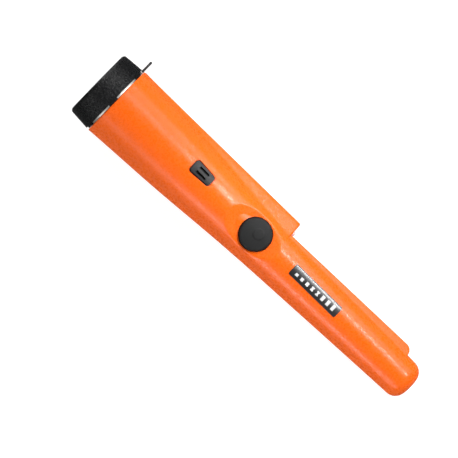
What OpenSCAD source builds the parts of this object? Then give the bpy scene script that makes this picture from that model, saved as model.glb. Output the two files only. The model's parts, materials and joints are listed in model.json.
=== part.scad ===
// Handheld pinpointing metal probe, lying on its side.
// The long axis runs along X: the battery cap's flat end is at x = 0 and the sensing
// tip points to -X. The ledge, the scraping rib and the lanyard tab point to -Y, and
// the push button points up, +Z. "u" is the distance from the cap's end to the tip.

/* [Body] */
// Overall length from the cap's flat end to the tip
total_len = 240; // [220:1:260]
// Body radius behind the lanyard plate
rear_r = 22; // [21.5:0.1:24]
// Body radius over the front of the battery
shoulder_r = 19.75; // [19.5:0.05:21]
// Body radius at the button
waist_r = 16.05; // [15.8:0.05:17]
// Body radius under the label
fore_r = 13.9; // [13.6:0.1:15]
// Body radius where the tip's rounding starts
nose_r = 11.35; // [11.2:0.05:12]
// Rounding radius of the tip's edge
tip_round = 7; // [3:0.5:7]
// Wall thickness of the body
wall = 2.4; // [2:0.1:2.6]

/* [Ledge and rib] */
// Distance of the ledge's crest from the long axis
ledge_crest = 21.95; // [20:0.05:21.95]
// Where the ledge ends and the lamp looks out
ledge_end_u = 134.2; // [130:0.1:138]
// Rounding radius of the ledge's crest edges
ledge_round = 3; // [1.5:0.5:3.5]
// Distance of the rib's crest from the long axis at its front end
rib_crest = 15.65; // [14.5:0.05:16]
// Rise of the rib's crest for each millimetre towards the tip
rib_slope = 0.0215; // [0.01:0.0005:0.03]
// Where the scraping rib ends
rib_end_u = 226.5; // [220:0.5:228]
// Slope of the rib's sides, seen along the tube
rib_side_slope = 27; // [24:0.5:30]
// Narrowing of the rib towards the tip, as a slope of each side
rib_side_taper = 3.1; // [2.6:0.1:3.4]
// Height of each side's plane over the long axis, near the rib's front end
rib_side_height = 10.66; // [10.3:0.02:10.9]

/* [Battery cap] */
// Radius of the cap at the end of its skirt
cap_r = 22; // [21.9:0.1:23]
// Radius of the cap near its flat end
cap_end_r = 21.1; // [20.9:0.1:22]
// Length of the cap with the lugs of its skirt
cap_len = 14.4; // [14.2:0.1:14.4]
// Pitch of the cap's screw thread
pitch = 3.6; // [3.4:0.1:3.8]
// Number of notches round the skirt's edge, with a lug between each two
notch_count = 6; // [4:1:7]
// Depth of each plain notch along the axis
notch_depth = 1.15; // [1.0:0.05:1.2]
// Depth of the notch that the washer's tab passes through
tab_notch_depth = 1.5; // [1.3:0.1:1.8]

/* [Lanyard plate] */
// Distance from the long axis to the end of the lanyard tab
tab_reach = 28.6; // [27:0.1:32]
// Radius of the hole for a lanyard
lanyard_hole_r = 2.2; // [1.5:0.1:2.4]
// Thickness of the plate
plate_t = 1.2; // [1:0.05:1.2]

/* [Controls and fittings] */
// Distance of the button's centre from the cap's end
button_u = 119.5; // [118:0.1:122]
// Radius of the button
button_r = 9.4; // [8.5:0.1:9.4]
// Height of the button's crown above the long axis
button_top = 15.4; // [14.8:0.1:16]
// How far the button goes down
button_travel = 0.7; // [0.3:0.1:0.8]
// Distance of the speaker grille's centre from the cap's end
grille_u = 75.5; // [74:0.25:78]
// Length of the speaker grille insert
grille_len = 14; // [12:0.5:15]
// Distance of the label's centre from the cap's end
label_u = 164.4; // [160:0.1:170]
// Length of the label
label_len = 35; // [28:0.2:36]
// Width of the label
label_w = 7.2; // [5:0.1:8]
// Radius of the lamp's lens
lamp_r = 1.75; // [1.5:0.05:1.8]

/* [Inside] */
// Length of the battery's case
battery_len = 46.5; // [46:0.1:46.6]
// Width of the battery's case
battery_w = 26.5; // [26:0.1:26.5]
// Thickness of the battery's case
battery_t = 17.5; // [17:0.1:17.5]
// Height of the circuit board's top face above the long axis
board_top = 1; // [0.8:0.1:1]
// Thickness of the circuit board
board_t = 1.6; // [1:0.1:1.6]
// Radius of the ferrite rod
ferrite_r = 4; // [3:0.1:4]
// Radius of the motor's can
motor_r = 3.1; // [2.5:0.1:3.1]
// Radius of the hook-up wires
wire_r = 0.5; // [0.3:0.05:0.55]

/* [Hidden] */
$fn = 72;
rear_u = 14.5;
nose_u = total_len - tip_round - 0.4;
shoulder_u = 60;
waist_u = 115;
fore_u = 165;
n_seg = 36;
seg = (nose_u - rear_u) / n_seg;
slope_rear = -0.060;
slope_shoulder = -0.057;
slope_waist = -0.055;
slope_fore = -0.040;
slope_nose = -0.036;

neck_end_u = 4.4;
neck_root_r = 17.9;
neck_crest_r = 18.7;
neck_seat_r = 18.8;
bore_r = 16.4;
ledge_stop_r = 15.9;
stop_u = 61.2;
bore_end_u = 236.4;
bore_end_r = 7.4;

cap_wall = 2.6;
cap_bore_r = 19.1;
cap_ridge_r = 18.3;
cap_seat_u = 11.5;
cap_seat_r = 20.55;
cap_round = 2.1;
lobe_angle = 16;
lobe_phase = 7.6;
// Number of the notch that faces the washer's tab, counted from the top
tab_notch = round((270 - lobe_phase) * notch_count / 360 - 0.5);
lug_inner_r = 21.12;
plate_r = 21;
seal_minor = 0.85;
seal_major = 18;
slip_outer_r = 20.47;
slip_inner_r = 19.1;
plate_u = 13.2;
tab_half = 4.3;
lanyard_y = tab_reach - tab_half;

button_hole_r = 9.7;
scoop_r = 41;
scoop_floor = 11.8;
flange_r = 10.8;
flange_z = 5.9;
carrier_top = 10.6;
stem_z = 5.5;
plunger_r = 1.75;
dot_shift = -1;
dot_r = 3.15;

grille_phi = -10.5;
grille_wide = 4;
grille_narrow = 3.45;
grille_seat = 16.6;
label_phi = -3;
label_turn = 0.2;
label_t = 0.3;
lamp_y = 15.2;
lamp_flange_u = 128;

battery_u = 6.1;
terminal_y = 6.35;
cover_u = battery_u + battery_len;
terminal_u = cover_u + 0.8;
snap_u = 57.2;
bulk_u = 58.8;
board_u0 = 64;
board_u1 = 174;
board_w0 = 13.8;
board_w1 = 9.3;
board_low = board_top - board_t;
floor_top = -2.4;
floor_t = 1.8;
collar_u = 176.5;
chassis_screw_z = 13;
screw_spots = [[69, 10.5], [69, -10.5], [160, 6.5], [160, -6.5]];
speaker_u = 75.8;
speaker_y = -3.4;
speaker_r = 7;
motor_u = 147;
motor_z = -8;
coil_u = 180;
coil_len = 50;
flange_spots = [0, 13, 37, 48.8];
former_r = 4.9;

orange = [0.93, 0.34, 0.05];
black = [0.06, 0.06, 0.06];
green = [0.08, 0.30, 0.14];
steel = [0.75, 0.76, 0.78];
copper = [0.72, 0.38, 0.18];
red = [0.70, 0.08, 0.06];

// One cubic stretch of the body's outline between two stations.
function stretch(u, u0, u1, r0, r1, m0, m1) =
    let (d = u1 - u0, t = (u - u0) / d)
    (2 * t * t * t - 3 * t * t + 1) * r0 + (t * t * t - 2 * t * t + t) * d * m0
    + (3 * t * t - 2 * t * t * t) * r1 + (t * t * t - t * t) * d * m1;

// Outer radius of the round body at the distance u from the cap's end.
function body_r(u) =
    u < shoulder_u ? stretch(u, rear_u, shoulder_u, rear_r, shoulder_r, slope_rear, slope_shoulder)
    : u < waist_u ? stretch(u, shoulder_u, waist_u, shoulder_r, waist_r, slope_shoulder, slope_waist)
    : u < fore_u ? stretch(u, waist_u, fore_u, waist_r, fore_r, slope_waist, slope_fore)
    : stretch(u, fore_u, nose_u, fore_r, nose_r, slope_fore, slope_nose);

function station(k) = rear_u + k * seg;

// Points on an arc.
function arc(cx, cy, r, a0, a1, n = 5) =
    [for (i = [0:n]) let (a = a0 + (a1 - a0) * i / n) [cx + r * cos(a), cy + r * sin(a)]];

// A four-sided outline with rounded corners: half length, half width at +x and at -x.
function rounded_quad(hl, w1, w2, r) = concat(
    arc(hl - r, w1 - r, r, 0, 90), arc(r - hl, w2 - r, r, 90, 180),
    arc(r - hl, r - w2, r, 180, 270), arc(hl - r, r - w1, r, 270, 360));

function bez(a, b, c, d, t) =
    pow(1 - t, 3) * a + 3 * pow(1 - t, 2) * t * b + 3 * (1 - t) * t * t * c + t * t * t * d;
function bez_dir(a, b, c, d, t) =
    let (v = pow(1 - t, 2) * (b - a) + 2 * (1 - t) * t * (c - b) + t * t * (d - c)) v / norm(v);
function unit(v) = v / norm(v);

// Turned shape from a list of [radius, u].
module turned(profile) rotate([0, -90, 0]) rotate_extrude() polygon(profile);

// Prism along the body from a list of [z, y].
module prism(u0, u1, outline)
    translate([-u0, 0, 0]) rotate([0, -90, 0]) linear_extrude(u1 - u0) polygon(outline);

module rod(u0, u1, r, y = 0, z = 0)
    translate([-u0, y, z]) rotate([0, -90, 0]) cylinder(h = u1 - u0, r = r);

module post(u, y, z0, z1, r) translate([-u, y, z0]) cylinder(h = z1 - z0, r = r);

module block(u0, u1, y0, y1, z0, z1) translate([-u1, y0, z0]) cube([u1 - u0, y1 - y0, z1 - z0]);

// Puts its children at u with their z axis pointing out of the body at the angle phi.
module at(u, phi = 0) translate([-u, 0, 0]) rotate([-phi, 0, 0]) children();

// Closed skin over a row of rings.
module sweep(rings, flip = false) {
    m = len(rings[0]);
    n = len(rings);
    sides = [for (i = [0:n - 2], j = [0:m - 1])
        let (a = i * m + j, b = a + m, d = i * m + (j + 1) % m, c = d + m)
        each [[a, b, c], [a, c, d]]];
    near_cap = [for (j = [0:m - 1]) j];
    far_cap = [for (j = [m - 1:-1:0]) (n - 1) * m + j];
    faces = concat([near_cap], sides, [far_cap]);
    polyhedron(points = [for (g = rings) each g],
        faces = flip ? [for (f = faces) [for (i = [len(f) - 1:-1:0]) f[i]]] : faces);
}

// Round wire along a cubic curve between two ends.
module wire(a, b, c, d, r = wire_r, rings = 12, sides = 8)
    sweep([for (i = [0:rings])
        let (t = i / rings, p = bez(a, b, c, d, t), v = bez_dir(a, b, c, d, t),
            n = unit(cross([0.13, 0.95, 0.31], v)), s = cross(v, n))
        [for (j = [0:sides - 1]) p + r * (cos(j * 360 / sides) * n + sin(j * 360 / sides) * s)]]);

// Screw ridge: base radius, crest radius, first u, turns. It climbs towards the cap's end.
module ridge(base, crest, u0, turns) {
    steps = ceil(turns * 40);
    sweep([for (i = [0:steps])
        let (a = i * turns * 360 / steps, x = -u0 + pitch * turns * i / steps)
        [for (q = [[base, -0.7], [crest, -0.35], [crest, 0.35], [base, 0.7]])
            [x + q[1], q[0] * cos(a), q[0] * sin(a)]]], crest > base);
}

// The round body between two stations, grown by d.
module skin(k0, k1, d = 0)
    turned(concat([[0, station(k0)]], [for (k = [k0:k1]) [body_r(station(k)) + d, station(k)]],
        [[0, station(k1)]]));

// --- body -----------------------------------------------------------------

module tube_solid() {
    tip_r = body_r(nose_u);
    turned(concat([[0, rear_u], [rear_r - 0.4, rear_u], [rear_r, rear_u + 0.4]],
        [for (k = [1:n_seg]) [body_r(station(k)), station(k)]],
        [for (i = [1:6]) let (a = i * 15)
            [tip_r - tip_round * (1 - cos(a)), nose_u + tip_round * sin(a)]],
        [[0, total_len]]));
}

module tube_cavity()
    turned(concat([[0, neck_end_u - 1], [bore_r, neck_end_u - 1], [bore_r, stop_u], [ledge_stop_r, stop_u]],
        [for (k = [1:n_seg - 1]) if (body_r(station(k)) - wall < ledge_stop_r)
            [body_r(station(k)) - wall, station(k)]],
        [[bore_end_r, bore_end_u], [0, bore_end_u]]));

module neck() {
    turned([[bore_r - 1, neck_end_u], [neck_root_r - 0.3, neck_end_u], [neck_root_r, neck_end_u + 0.3],
        [neck_root_r, plate_u - 0.05], [neck_seat_r, plate_u - 0.05], [neck_seat_r, rear_u + 1],
        [bore_r - 1, rear_u + 1]]);
    ridge(neck_root_r - 0.3, neck_crest_r, 11.4, 1.5);
}

// Broad ledge on the side, with a rounded crest and sloping flanks.
module ledge() {
    flat_half = 2.4;
    c = ledge_crest - ledge_round;
    crest = [for (i = [0:6]) let (a = -90 + i * 61 / 6)
        [flat_half + ledge_round * cos(a), -c + ledge_round * sin(a)]];
    half = concat(crest, [[10.9, -9.5], [8, -5]]);
    mirrored = [for (i = [len(half) - 1:-1:0]) [-half[i][0], half[i][1]]];
    prism(rear_u + 1.5, ledge_end_u, concat(half, mirrored));
}

// Rib from the ledge to the tip: a level crest with a rounded front corner, and sloping
// sides that come closer together towards the tip.
module rib() {
    corner = 4.5;
    foot = 7;
    start = rib_crest - rib_slope * (rib_end_u - ledge_end_u);
    intersection() {
        translate([0, 0, -13]) linear_extrude(26)
            polygon(concat([[1 - ledge_end_u, -foot], [1 - ledge_end_u, -start]],
                [for (i = [0:6]) let (a = -90 - i * 15)
                    [corner - rib_end_u + corner * cos(a), corner - rib_crest + corner * sin(a)]],
                [[-rib_end_u, -foot]]));
        rib_side();
        mirror([0, 0, 1]) rib_side();
    }
}

// Everything below the plane of the rib's upper side.
module rib_side()
    translate([1.5 - rib_end_u, 0, rib_side_height]) rotate([rib_side_slope, -rib_side_taper, 0])
        translate([-30, -60, -60]) cube([160, 120, 60]);

module battery_rails()
    for (y = [-6, 6], side = [-1, 1])
        block(16, 54, y - 0.8, y + 0.8, side > 0 ? 9 : -15.6, side > 0 ? 15.6 : -9);

module screw_bosses()
    for (side = [-1, 1]) rod(stop_u, stop_u + 6, 2.5, 0, side * (chassis_screw_z + 0.5));

// Opening for the speaker grille: a wide groove, a close pocket and a smaller window below.
module grille_opening()
    at(grille_u, grille_phi) {
        translate([0, 0, grille_seat]) linear_extrude(4)
            polygon(rounded_quad(grille_len / 2 + 0.05, grille_wide + 0.05, grille_narrow + 0.05, 1.65));
        translate([0, 0, grille_seat + 1]) linear_extrude(3)
            polygon(rounded_quad(grille_len / 2 + 0.4, grille_wide + 0.4, grille_narrow + 0.4, 2));
        translate([0, 0, 12]) linear_extrude(6)
            polygon(rounded_quad(grille_len / 2 - 1, grille_wide - 1, grille_narrow - 1, 1));
    }

// Flat side in front of the ledge, in line with the rib's crest.
module front_flat() {
    reach = 26;
    crest = rib_crest - rib_slope * (rib_end_u - ledge_end_u);
    translate([0, 0, -12]) linear_extrude(24)
        polygon([[-ledge_end_u, -crest], [-ledge_end_u - reach, -crest - rib_slope * reach],
            [-ledge_end_u - reach, -20], [-ledge_end_u, -20]]);
}

module lamp_opening() {
    rod(lamp_flange_u - 5, ledge_end_u + 3, lamp_r + 0.1, -lamp_y);
    rod(lamp_flange_u - 6, lamp_flange_u + 1.05, lamp_r + 0.65, -lamp_y);
    block(106, lamp_flange_u - 0.5, -17.2, -9, -2.2, 3.4);
}

module button_opening() {
    post(button_u, 0, 2, 30, button_hole_r);
    translate([-button_u, 40, scoop_floor + scoop_r]) rotate([90, 0, 0])
        cylinder(h = 80, r = scoop_r, $fn = 160);
}

module housing() color(orange) {
    difference() {
        union() {
            tube_solid();
            neck();
            ledge();
            rib();
        }
        tube_cavity();
        grille_opening();
        front_flat();
        lamp_opening();
        button_opening();
    }
    intersection() {
        battery_rails();
        turned([[0, 10], [bore_r + 0.4, 10], [bore_r + 0.4, 60], [0, 60]]);
    }
    difference() {
        intersection() {
            screw_bosses();
            turned([[0, 60], [ledge_stop_r + 0.4, 60], [ledge_stop_r + 0.4, 70], [0, 70]]);
        }
        for (side = [-1, 1]) rod(stop_u - 1, stop_u + 5.4, 1.05, 0, side * chassis_screw_z);
    }
}

// --- cap end --------------------------------------------------------------

module battery_cap() color(black) {
    difference() {
        turned(concat([[0, 0]],
            [for (i = [0:6]) let (a = 90 - i * 15)
                [cap_end_r - cap_round + cap_round * cos(a), cap_round - cap_round * sin(a)]],
            [[cap_r, cap_len], [lug_inner_r, cap_len], [lug_inner_r, plate_u - 0.04],
             [cap_seat_r, plate_u - 0.04], [cap_seat_r, cap_seat_u],
             [cap_bore_r, cap_seat_u], [cap_bore_r, cap_wall], [0, cap_wall]]));
        for (i = [0:notch_count - 1]) {
            pitch_angle = 360 / notch_count;
            rotate([-(lobe_phase + (i + 0.5) * pitch_angle), 0, 0])
                translate([-cap_len - 1, 0, 0]) rotate([0, 90, 0]) rotate([0, 0, 180])
                    notch_wedge(pitch_angle - lobe_angle, i == tab_notch ? tab_notch_depth : notch_depth);
        }
    }
    ridge(cap_bore_r + 0.3, cap_ridge_r, 11.4 - pitch / 2, 1.1);
}

// Sector cut for one notch, pointing along its own x axis.
module notch_wedge(angle, depth) {
    reach = 26;
    linear_extrude(depth + 1) polygon(concat([[0, 0]],
        [for (i = [0:4]) let (a = -angle / 2 + i * angle / 4) [reach * cos(a), reach * sin(a)]]));
}

module cap_seal() color([0.35, 0.06, 0.05])
    rotate([0, -90, 0]) translate([0, 0, cap_wall + 0.05 + seal_minor]) rotate_extrude()
        translate([seal_major, 0]) circle(r = seal_minor, $fn = 32);

module battery_pad() color([0.2, 0.2, 0.22]) rod(cap_wall, battery_u - 0.05, 12);

module slip_ring() color(steel)
    turned([[slip_inner_r, cap_seat_u + 0.1], [slip_outer_r, cap_seat_u + 0.1],
        [slip_outer_r, plate_u - 0.08], [slip_inner_r, plate_u - 0.08]]);

// Washer with a tab that stands out through one of the skirt's notches.
module lanyard_plate() color(steel) difference() {
    union() {
        rod(plate_u, plate_u + plate_t, plate_r);
        block(plate_u, plate_u + plate_t, -lanyard_y, -15, -tab_half, tab_half);
        rod(plate_u, plate_u + plate_t, tab_half, -lanyard_y);
    }
    rod(plate_u - 1, plate_u + plate_t + 1, neck_seat_r + 0.07);
    rod(plate_u - 1, plate_u + plate_t + 1, lanyard_hole_r, -lanyard_y);
}

// --- battery and its contacts ----------------------------------------------

module battery_case() color([0.15, 0.16, 0.2])
    prism(battery_u, cover_u, rounded_quad(battery_t / 2, battery_w / 2, battery_w / 2, 2));

module battery_cover() color([0.3, 0.2, 0.12])
    prism(cover_u, terminal_u, rounded_quad(battery_t / 2 - 0.6, battery_w / 2 - 0.6, battery_w / 2 - 0.6, 1.6));

module battery_positive() color(steel) {
    rod(terminal_u, 56, 2.85, -terminal_y);
    rod(terminal_u, terminal_u + 0.4, 3.6, -terminal_y);
}

module battery_negative() color(steel) difference() {
    translate([-terminal_u, terminal_y, 0]) rotate([0, -90, 0])
        cylinder(h = 56 - terminal_u, r = 4.5, $fn = 6);
    rod(terminal_u + 0.4, 57, 3.2, terminal_y);
}

module snap_board() color([0.12, 0.12, 0.13]) difference() {
    rod(snap_u, bulk_u, 16.1);
    for (side = [-1, 1]) rod(snap_u - 1, bulk_u + 1, 1.15, 0, side * chassis_screw_z);
}

module snap_socket() color(steel) difference() {
    rod(54.1, snap_u, 3.9, -terminal_y);
    rod(54, 56.4, 2.9, -terminal_y);
}

module snap_stud() color(steel) rod(54.1, snap_u, 3.15, terminal_y);

module chassis_screws() color(steel)
    for (side = [-1, 1]) difference() {
        union() {
            rod(snap_u - 1.4, snap_u, 2.1, 0, side * chassis_screw_z);
            rod(snap_u, stop_u + 5, 1, 0, side * chassis_screw_z);
        }
        rod(snap_u - 2, snap_u - 0.7, 0.9, 0, side * chassis_screw_z, $fn = 6);
    }

// --- chassis and board -------------------------------------------------------

module chassis() color([0.16, 0.17, 0.18]) {
    low = floor_top - floor_t;
    difference() {
        union() {
            rod(bulk_u, stop_u - 0.02, 16.2);
            translate([0, 0, low]) linear_extrude(floor_t)
                polygon([[0.5 - stop_u, 14.4], [-178, 9.2], [-178, -9.2], [0.5 - stop_u, -14.4]]);
            for (y = [-5.7, 4.3]) block(stop_u - 0.5, 136, y, y + 1.4, -8, low + 0.2);
            for (s = screw_spots) post(s[0], s[1], low + 0.5, board_low, 2);
            block(148.5, 153.5, -3.9, 3.9, -9.4, low + 0.5);
            rod(collar_u, 179, 10.1);
        }
        for (side = [-1, 1]) {
            rod(bulk_u - 1, stop_u + 1, 1.15, 0, side * chassis_screw_z);
            rod(bulk_u - 1, stop_u + 1, 1.2, side * 9.5, 4);
            rod(collar_u - 1, 180, 1.3, side * 6, 5);
        }
        for (s = screw_spots) post(s[0], s[1], low - 1, 2, 1);
        block(137.6, 141.6, -3, 3, low - 1, 0);
        rod(140, 160, motor_r + 0.02, 0, motor_z);
        rod(collar_u - 1, 180, ferrite_r + 0.1);
    }
}

module main_board() color(green) difference() {
    translate([0, 0, board_low]) linear_extrude(board_t)
        polygon([[-board_u0, board_w0], [-board_u1, board_w1], [-board_u1, -board_w1],
            [-board_u0, -board_w0]]);
    for (s = screw_spots) post(s[0], s[1], board_low - 1, board_top + 1, 1.15);
}

module board_screws() color(steel)
    for (s = screw_spots) difference() {
        union() {
            post(s[0], s[1], board_top, board_top + 1.3, 1.9);
            post(s[0], s[1], floor_top - floor_t + 0.1, board_top, 0.95);
        }
        translate([-s[0], s[1], board_top + 0.6]) cylinder(h = 1, r = 0.8, $fn = 6);
    }

module controller_chip() color(black) {
    block(94, 101, -3.5, 3.5, board_top + 0.2, board_top + 1.4);
    for (side = [-1, 1], i = [0:7])
        block(94.6 + i * 0.8, 94.95 + i * 0.8, side > 0 ? 3.5 : -4.5, side > 0 ? 4.5 : -3.5,
            board_top, board_top + 0.5);
}

module amplifier_chip() color(black) {
    block(136, 141, -2, 2, board_top + 0.2, board_top + 1.6);
    for (side = [-1, 1], i = [0:3])
        block(136.4 + i * 1.27, 136.8 + i * 1.27, side > 0 ? 2 : -3, side > 0 ? 3 : -2,
            board_top, board_top + 0.6);
}

module filter_capacitors() color([0.1, 0.12, 0.3])
    for (y = [-7.6, 7.6]) post(88, y, board_top, board_top + 5, 2.5);

module crystal() color(steel)
    translate([-104.7, 0, board_top]) linear_extrude(3.2) polygon(rounded_quad(1.7, 4.6, 4.6, 1.6));

module regulator() color(black) {
    block(70, 74, 3.4, 7, board_top, board_top + 1.6);
    block(74, 75.2, 4, 6.4, board_top, board_top + 0.5);
}

module film_capacitor() color([0.55, 0.1, 0.08]) block(147, 150.2, -3.6, 3.6, board_top, board_top + 5.6);

module chip_resistors() color([0.25, 0.25, 0.27])
    for (u = [90, 112, 128, 131, 134, 154], y = [-6.2, 5.4]) block(u, u + 1.6, y, y + 0.8, board_top, board_top + 0.55);

// --- button ------------------------------------------------------------------

module button_cap() color(black) {
    edge = 1.3;
    crown = 0.5;
    translate([-button_u, 0, 0]) rotate_extrude() polygon(concat(
        [[0, carrier_top], [button_r, carrier_top]],
        [for (i = [0:5]) let (a = i * 17)
            [button_r - edge + edge * cos(a), button_top - crown - edge + edge * sin(a)]],
        [for (i = [1:5]) let (t = 1 - i / 5)
            [(button_r - edge) * t, button_top - crown * t * t]]));
    translate([dot_shift - button_u, dot_shift, button_top - 0.5]) cylinder(h = 0.62, r = dot_r);
}

module button_carrier() color([0.12, 0.12, 0.12])
    translate([-button_u, 0, 0]) rotate_extrude() polygon([[0, stem_z], [1.6, stem_z], [1.6, 9], [8, 9],
        [8, flange_z], [flange_r, flange_z], [flange_r, flange_z + 1.1], [9.3, flange_z + 1.1],
        [9.3, carrier_top], [0, carrier_top]]);

module switch_plunger() color([0.6, 0.1, 0.1]) post(button_u, 0, 4.25, stem_z, plunger_r);

module switch_body() color([0.2, 0.2, 0.2]) {
    difference() {
        block(button_u - 3, button_u + 3, -3, 3, board_top, 4.4);
        post(button_u, 0, 3.2, 5, plunger_r + 0.08);
    }
    for (i = [-1, 1], j = [-1, 1])
        block(button_u + i * 2.25 - 0.4, button_u + i * 2.25 + 0.4, j > 0 ? 3 : -4.2, j > 0 ? 4.2 : -3,
            board_top, board_top + 0.4);
}

// --- speaker, lamp, label ------------------------------------------------------

module speaker_grille() color([0.13, 0.13, 0.14]) intersection() {
    at(grille_u, grille_phi) difference() {
        translate([0, 0, grille_seat + 0.2]) linear_extrude(4)
            polygon(rounded_quad(grille_len / 2, grille_wide, grille_narrow, 1.6));
        for (y = [-1.5, 1.5]) translate([0, y, 0]) linear_extrude(30)
            polygon(rounded_quad(3.4, 0.65, 0.65, 0.5));
    }
    skin(8, 12, 0.2);
}

module grille_mesh() color([0.3, 0.3, 0.3]) at(grille_u, grille_phi)
    translate([0, 0, grille_seat]) linear_extrude(0.2)
        polygon(rounded_quad(grille_len / 2, grille_wide, grille_narrow, 1.6));

module speaker_seat() color([0.25, 0.25, 0.27]) post(speaker_u, speaker_y, board_top, 6, 5);

module speaker_can() color(black) difference() {
    post(speaker_u, speaker_y, 6, 11.5, speaker_r);
    post(speaker_u, speaker_y, 10.2, 12, speaker_r - 0.8);
}

module speaker_cone() color([0.5, 0.45, 0.3])
    translate([-speaker_u, speaker_y, 10.2]) cylinder(h = 0.8, r1 = speaker_r - 0.9, r2 = 2.5);

module lamp_lens() color([0.85, 0.9, 0.95, 0.5]) {
    rod(lamp_flange_u, lamp_flange_u + 1, lamp_r + 0.5, -lamp_y);
    rotate([0, -90, 0]) translate([0, -lamp_y, 0]) rotate_extrude() polygon(concat([[0, lamp_flange_u + 1],
        [lamp_r, lamp_flange_u + 1]],
        [for (i = [0:6]) [lamp_r * cos(i * 15), ledge_end_u - 0.1 + lamp_r * sin(i * 15)]]));
}

module lamp_leads() color(steel)
    for (side = [-1, 1]) rod(lamp_flange_u - 4, lamp_flange_u, 0.25, -lamp_y + side * 1.1);

module label() color([0.08, 0.08, 0.09]) difference() {
    intersection() {
        at(label_u, label_phi) rotate([0, 0, label_turn]) translate([0, 0, 8]) linear_extrude(12)
            polygon(rounded_quad(label_len / 2, label_w / 2, label_w / 2, 0.9));
        skin(20, 30, label_t);
    }
    skin(19, 31);
}

// --- vibration motor -------------------------------------------------------------

module motor_can() color(steel) difference() {
    rod(motor_u, motor_u + 8, motor_r, 0, motor_z);
    rod(motor_u + 5, motor_u + 9, 0.55, 0, motor_z);
}

module motor_shaft() color(steel) rod(motor_u + 5.1, motor_u + 12, 0.5, 0, motor_z);

module motor_weight() color([0.45, 0.45, 0.48]) difference() {
    rod(motor_u + 8.6, motor_u + 11.8, 2.9, 0, motor_z);
    rod(motor_u + 8, motor_u + 13, 0.5, 0, motor_z);
    block(motor_u + 8, motor_u + 13, -4, 4, motor_z + 1, motor_z + 4);
}

// --- sensing head ------------------------------------------------------------------

module ferrite_rod() color([0.18, 0.18, 0.19]) rod(collar_u + 0.5, 231.5, ferrite_r);

module coil_former() color([0.85, 0.83, 0.75]) difference() {
    union() {
        rod(coil_u, coil_u + coil_len, former_r);
        for (f = flange_spots) rod(coil_u + f, coil_u + f + 1.2, 8);
    }
    rod(coil_u - 1, coil_u + coil_len + 1, ferrite_r + 0.05);
}

module winding(f0, f1, r) difference() {
    rod(coil_u + f0 + 1.25, coil_u + f1 - 0.05, r);
    rod(coil_u, coil_u + coil_len, former_r + 0.03);
}

module rear_winding() color(copper) winding(flange_spots[0], flange_spots[1], 6.6);
module drive_winding() color(copper) winding(flange_spots[1], flange_spots[2], 7.4);
module front_winding() color(copper) winding(flange_spots[2], flange_spots[3], 6.6);

module coil_shield() color([0.8, 0.5, 0.3]) difference() {
    rod(coil_u + 0.5, coil_u + coil_len - 1.5, 8.32);
    rod(coil_u - 1, coil_u + coil_len + 1, 8.05);
    block(coil_u - 1, coil_u + coil_len + 1, -0.6, 0.6, 5, 10);
}

module tip_cushion() color([0.3, 0.3, 0.32]) rod(231.6, bore_end_u - 0.1, 6.3);

// --- wiring ------------------------------------------------------------------------

module battery_wire_red() color(red) supply_wire(-1);
module battery_wire_black() color(black) supply_wire(1);
module supply_wire(side)
    wire([-bulk_u, side * 9.5, 4], [-64, side * 9.5, 4], [-66.5, side * 7, 6], [-66.5, side * 7, board_top]);

module speaker_wire_red() color(red)
    wire([-80.6, 1.98, 8], [-83.2, 4.9, 8], [-84.5, 2.2, 6], [-84.5, 2.2, board_top]);
module speaker_wire_black() color(black)
    wire([-82.4, -0.73, 8], [-85.5, 0.52, 8], [-86, -0.6, 6], [-86, -0.6, board_top]);

module lamp_wire_red() color(red)
    wire([0.05 - lamp_flange_u + 4, -lamp_y - 1.1, 0], [-116, -lamp_y - 1.1, 0], [-108.5, -10.8, 4.8],
        [-108.5, -10.8, board_top]);
module lamp_wire_black() color(black)
    wire([0.05 - lamp_flange_u + 4, -lamp_y + 1.1, 0], [-118, -lamp_y + 1.1, 0], [-111.5, -9.4, 5.4],
        [-111.5, -9.4, board_top]);

module motor_wire_red() color(red) motor_wire(1.4);
module motor_wire_black() color(black) motor_wire(-1.4);
module motor_wire(y)
    wire([-motor_u, y, motor_z], [3.6 - motor_u - 1, y, motor_z], [-139.6, y, -6.5], [-139.6, y, board_low], 0.4);

module coil_wire_left() color([0.1, 0.45, 0.2]) coil_wire(6);
module coil_wire_right() color([0.8, 0.7, 0.1]) coil_wire(-6);
module coil_wire(y)
    wire([-168, y, board_top], [-168, y, 5.5], [-173, y, 5], [-coil_u, y, 5]);

housing();
battery_cap();
cap_seal();
battery_pad();
slip_ring();
lanyard_plate();
battery_case();
battery_cover();
battery_positive();
battery_negative();
snap_board();
snap_socket();
snap_stud();
chassis_screws();
chassis();
main_board();
board_screws();
controller_chip();
amplifier_chip();
filter_capacitors();
crystal();
regulator();
film_capacitor();
chip_resistors();
button_cap();
button_carrier();
switch_plunger();
switch_body();
speaker_grille();
grille_mesh();
speaker_seat();
speaker_can();
speaker_cone();
lamp_lens();
lamp_leads();
label();
motor_can();
motor_shaft();
motor_weight();
ferrite_rod();
coil_former();
rear_winding();
drive_winding();
front_winding();
coil_shield();
tip_cushion();
battery_wire_red();
battery_wire_black();
speaker_wire_red();
speaker_wire_black();
lamp_wire_red();
lamp_wire_black();
motor_wire_red();
motor_wire_black();
coil_wire_left();
coil_wire_right();
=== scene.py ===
import bpy, bmesh, json, math
from mathutils import Matrix, Vector


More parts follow.
